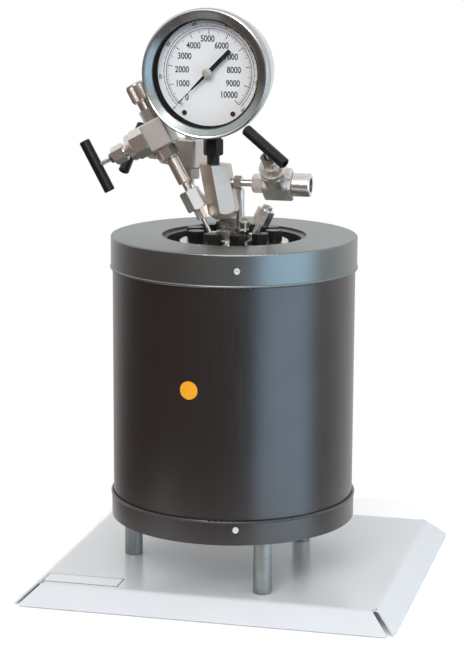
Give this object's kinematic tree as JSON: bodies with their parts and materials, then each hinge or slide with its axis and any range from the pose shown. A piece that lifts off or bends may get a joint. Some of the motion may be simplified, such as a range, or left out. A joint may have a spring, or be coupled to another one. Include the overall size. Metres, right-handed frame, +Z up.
{
  "type": "hydrothermal reactor",
  "caption": "Bench hydrothermal reactor: a split-ring pressure vessel with pressure gauge and needle valves, standing in a round electric heater on a folded steel tray.",
  "frame": {"origin": "middle of the tray footprint, on the bench", "axes": "+Z up, -Y to the front where the gauge faces, +X to the right where the outlet points"},
  "size_m": [0.381, 0.354, 0.582],
  "materials": {
    "tray_paint": "smooth glossy powder coat",
    "leg_steel": "drawn, dull grey",
    "zinc_screw": "bright zinc plate",
    "casing_paint": "satin black baked enamel",
    "ceramic_fibre": "matt fibre",
    "ceramic_body": "matt fired ceramic",
    "resistance_wire": "oxidised",
    "bright_steel": "polished",
    "gland_plastic": "moulded",
    "stainless": "turned and milled stainless steel",
    "brushed_block": "milled stainless steel with ground faces",
    "dark_stainless": "oiled stainless steel",
    "graphite": "pressed graphite",
    "black_bolt": "black oxide",
    "blackened_steel": "satin black",
    "bourdon_alloy": "drawn tube",
    "brass_plate": "stamped plate",
    "case_steel": "drawn, satin",
    "dial_white": "matt white enamel",
    "pointer_black": "matt black",
    "gauge_glass": "clear flat glass",
    "bezel_steel": "turned, satin",
    "handle_black": "black oxide, lightly worn"
  },
  "bodies": {
    "reactor": {"base_tray": "tray_paint", "legs": "leg_steel", "leg_screws": "zinc_screw", "bottom_cover": "casing_paint", "outer_shell": "casing_paint", "top_cover": "casing_paint", "cover_screws": "zinc_screw", "insulation": "ceramic_fibre", "hearth_plate": "ceramic_body", "ceramic_heater": "ceramic_body", "heating_element": "resistance_wire", "well_liner": "bright_steel", "cord_gland": "gland_plastic", "vessel_cup": "stainless", "head_gasket": "graphite", "vessel_head": "stainless", "clamp_ring_left": "stainless", "clamp_ring_right": "stainless", "clamp_bolts": "black_bolt", "drop_band": "stainless", "thermowell": "stainless", "dip_tube": "stainless", "rupture_disc_holder": "stainless", "front_fitting": "stainless", "spare_port_adapter": "stainless", "block_union": "dark_stainless", "gauge_block": "brushed_block", "gauge_socket": "blackened_steel", "bourdon_tube": "bourdon_alloy", "gauge_movement": "brass_plate", "gauge_case": "case_steel", "dial_face": "dial_white", "dial_screws": "zinc_screw", "gauge_glass": "gauge_glass", "bezel_ring": "bezel_steel", "left_adapter": "stainless", "left_union_nut": "stainless", "left_riser": "stainless", "left_end_plug": "stainless", "right_nipple": "stainless", "outlet_connector": "stainless", "rear_riser": "stainless", "rear_end_plug": "stainless", "line_nuts": "stainless", "valve_bonnets": "stainless", "valve_gland_nuts": "stainless", "left_valve_body": "brushed_block", "right_valve_body": "brushed_block", "rear_valve_body": "brushed_block"},
    "pointer_body": {"pointer": "pointer_black", "pointer_staff": "bright_steel"},
    "left_needle_body": {"left_valve_needle": "bright_steel"},
    "left_handle_body": {"left_valve_spindle": "bright_steel", "left_valve_handle": "handle_black"},
    "rear_needle_body": {"rear_valve_needle": "bright_steel"},
    "rear_handle_body": {"rear_valve_spindle": "bright_steel", "rear_valve_handle": "handle_black"},
    "right_needle_body": {"right_valve_needle": "bright_steel"},
    "right_handle_body": {"right_valve_spindle": "bright_steel", "right_valve_handle": "handle_black"}
  },
  "joints": [
    {"name": "pointer_turn", "type": "hinge", "parent": "reactor", "child": "pointer_body", "pos_m": [-0.0206, -0.07, 0.519], "axis": [0, 1, 0], "range_deg": [0, 270], "stiffness_Nm_per_rad": 0.002},
    {"name": "left_valve_lift", "type": "slide", "parent": "reactor", "child": "left_needle_body", "axis": [-0.8796, 0, -0.4756], "range_m": [0, 0.003]},
    {"name": "left_valve_turn", "type": "hinge", "parent": "left_needle_body", "child": "left_handle_body", "pos_m": [-0.07324, -0.054, 0.45788], "axis": [-0.8796, 0, -0.4756], "range_deg": [0, 720]},
    {"name": "rear_valve_lift", "type": "slide", "parent": "reactor", "child": "rear_needle_body", "axis": [-0.9397, 0.342, 0], "range_m": [0, 0.003]},
    {"name": "rear_valve_turn", "type": "hinge", "parent": "rear_needle_body", "child": "rear_handle_body", "pos_m": [-0.052, -0.01, 0.434], "axis": [-0.9397, 0.342, 0], "range_deg": [0, 720]},
    {"name": "right_valve_lift", "type": "slide", "parent": "reactor", "child": "right_needle_body", "axis": [0, -0.8049, 0.5934], "range_m": [0, 0.003]},
    {"name": "right_valve_turn", "type": "hinge", "parent": "right_needle_body", "child": "right_handle_body", "pos_m": [0.04548, -0.044, 0.4105], "axis": [0, -0.8049, 0.5934], "range_deg": [0, 720]}
  ],
  "couplings": [
    {"joint": "left_valve_turn", "follows": "left_valve_lift", "rad_per_m": 4188.8},
    {"joint": "rear_valve_turn", "follows": "rear_valve_lift", "rad_per_m": 4188.8},
    {"joint": "right_valve_turn", "follows": "right_valve_lift", "rad_per_m": 4188.8}
  ]
}
